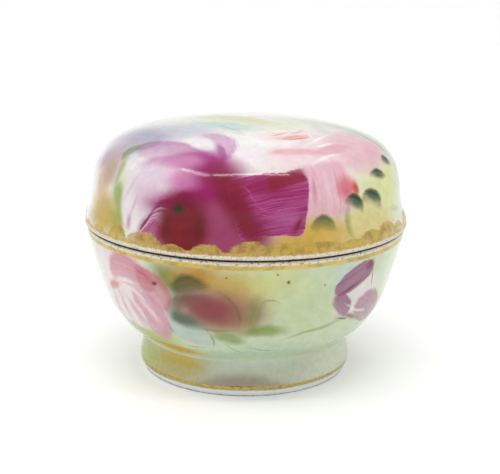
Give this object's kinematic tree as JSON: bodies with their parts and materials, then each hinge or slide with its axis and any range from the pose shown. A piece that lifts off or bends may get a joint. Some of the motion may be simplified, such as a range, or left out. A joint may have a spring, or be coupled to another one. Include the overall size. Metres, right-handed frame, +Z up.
{
  "type": "powder jar",
  "caption": "Round covered powder jar: a footed porcelain bowl with a raised inner collar, and a domed lid that sits over the collar and lifts off.",
  "frame": {"origin": "centre of the ground ring under the foot, on the surface that the jar stands on", "axes": "+Z up along the axis of revolution and of the lid's lift; -Y is the painted front"},
  "size_m": [0.1096, 0.1096, 0.0864],
  "materials": {
    "foot_porcelain": "hand-painted olive, grey and pale green under a gloss glaze, gold line, unglazed ground edge",
    "bowl_porcelain": "hand-painted roses, buds and leaves under a gloss glaze, gold line, plain white glaze inside",
    "lid_porcelain": "hand-painted large roses under a gloss glaze, gold scalloped edge, plain white glaze inside"
  },
  "bodies": {
    "jar": {"bowl": "bowl_porcelain", "foot_ring": "foot_porcelain"},
    "lid": {"lid": "lid_porcelain"}
  },
  "joints": [
    {"name": "lid_lift", "type": "slide", "parent": "jar", "child": "lid", "axis": [0, 0, 1], "range_m": [0, 0.04]}
  ]
}
